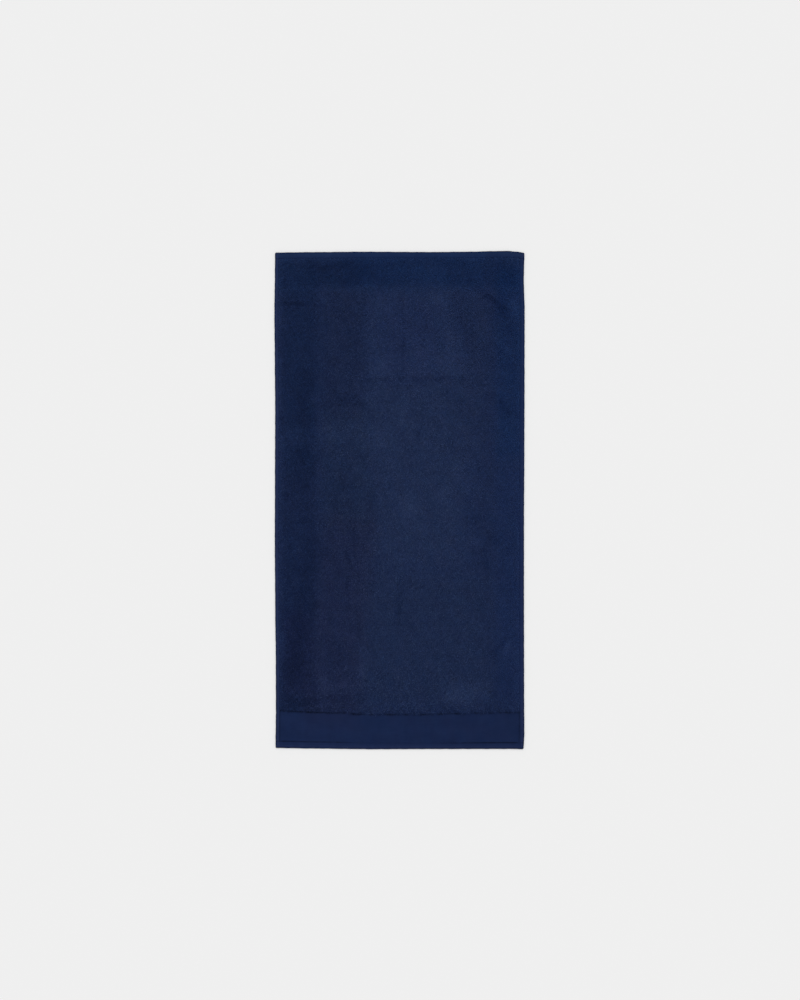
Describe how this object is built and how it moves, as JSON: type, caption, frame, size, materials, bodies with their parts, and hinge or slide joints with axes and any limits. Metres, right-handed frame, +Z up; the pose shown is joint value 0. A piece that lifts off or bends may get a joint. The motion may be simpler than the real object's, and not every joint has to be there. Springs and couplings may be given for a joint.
{
  "type": "hand towel",
  "caption": "Flat cotton hand towel, terry on both faces, with a flat-woven border band near one end and stitched hems all round.",
  "frame": {"origin": "under the middle of the towel, on the surface that it lies on", "axes": "+X across the towel, +Y along it towards the plain end, away from the border band, +Z up out of the face"},
  "size_m": [0.503, 1.0012, 0.0052],
  "materials": {
    "cotton_terry": "matt navy cotton terry loops, with a smooth ribbed flat weave in the border band and the hems"
  },
  "bodies": {
    "root": {"towel": "cotton_terry"}
  },
  "joints": []
}
